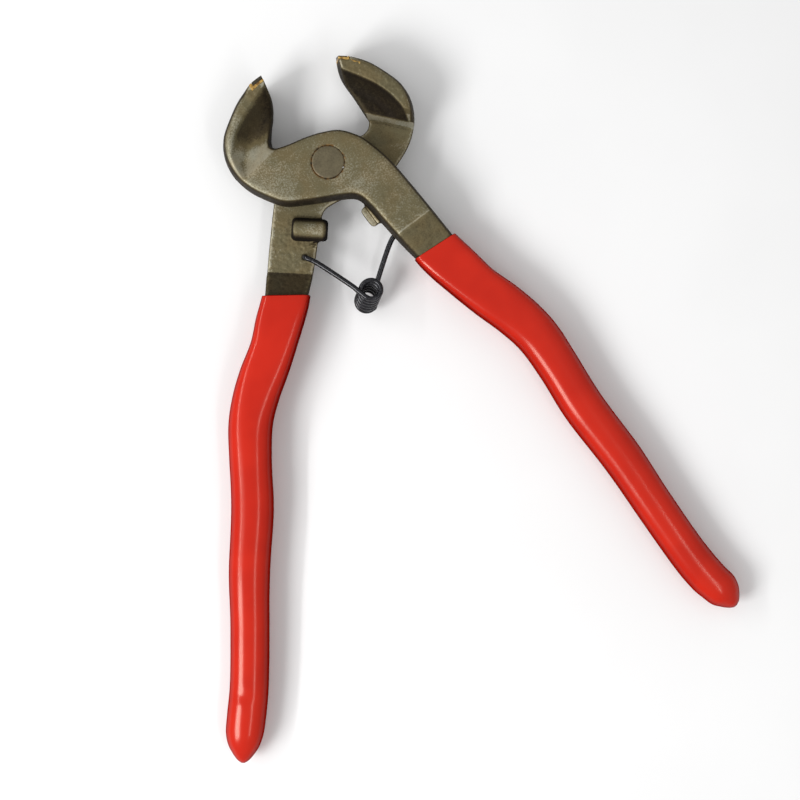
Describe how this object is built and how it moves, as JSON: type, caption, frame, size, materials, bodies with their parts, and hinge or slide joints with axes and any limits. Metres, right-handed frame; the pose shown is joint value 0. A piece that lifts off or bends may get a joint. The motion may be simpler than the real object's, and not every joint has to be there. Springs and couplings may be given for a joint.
{
  "type": "tile nippers",
  "caption": "Lap-jointed hand nippers with open claw jaws, brazed cutting tips, a torsion return spring and dipped vinyl grips.",
  "frame": {"origin": "centre of the rivet's rear end, on the rear face that the tool lies on", "axes": "+Z along the rivet towards the front face, +Y towards the jaws along the line midway between the levers, +X to the right seen from the front"},
  "size_m": [0.1528, 0.1865, 0.016],
  "materials": {
    "forged_steel": "grainy bronze-brown forging scale under a thin lacquer",
    "rivet_steel": "ground flush, with a rust-brown ring at the joint line",
    "carbide": "dark ground carbide",
    "braze": "smooth golden braze fillet",
    "spring_wire": "black oxide, oiled",
    "dipped_vinyl": "glossy red dipped vinyl"
  },
  "bodies": {
    "rear_side": {"rear_lever": "forged_steel", "pivot_rivet": "rivet_steel", "rear_carbide_tip": "carbide", "rear_braze": "braze", "rear_grip": "dipped_vinyl"},
    "front_side": {"front_lever": "forged_steel", "front_carbide_tip": "carbide", "front_braze": "braze", "front_grip": "dipped_vinyl"},
    "spring_rear": {"spring_rear_arm": "spring_wire"},
    "spring_front": {"spring_front_arm": "spring_wire"}
  },
  "joints": [
    {"name": "jaw_pivot", "type": "hinge", "parent": "rear_side", "child": "front_side", "pos_m": [0, 0, 0.008], "axis": [0, 0, -1], "range_deg": [-8, 38], "stiffness_Nm_per_rad": 0.9},
    {"name": "spring_rear_hook", "type": "hinge", "parent": "rear_side", "child": "spring_rear", "pos_m": [-0.01439, -0.02317, 0.008], "axis": [0, 0, -1], "range_deg": [-12, 48]},
    {"name": "spring_coil", "type": "hinge", "parent": "spring_rear", "child": "spring_front", "pos_m": [0, -0.03901, 0.008], "axis": [0, 0, 1], "range_deg": [-14, 55]}
  ],
  "couplings": [
    {"joint": "spring_rear_hook", "follows": "jaw_pivot", "ratio": 1.186},
    {"joint": "spring_coil", "follows": "jaw_pivot", "ratio": 1.372}
  ]
}
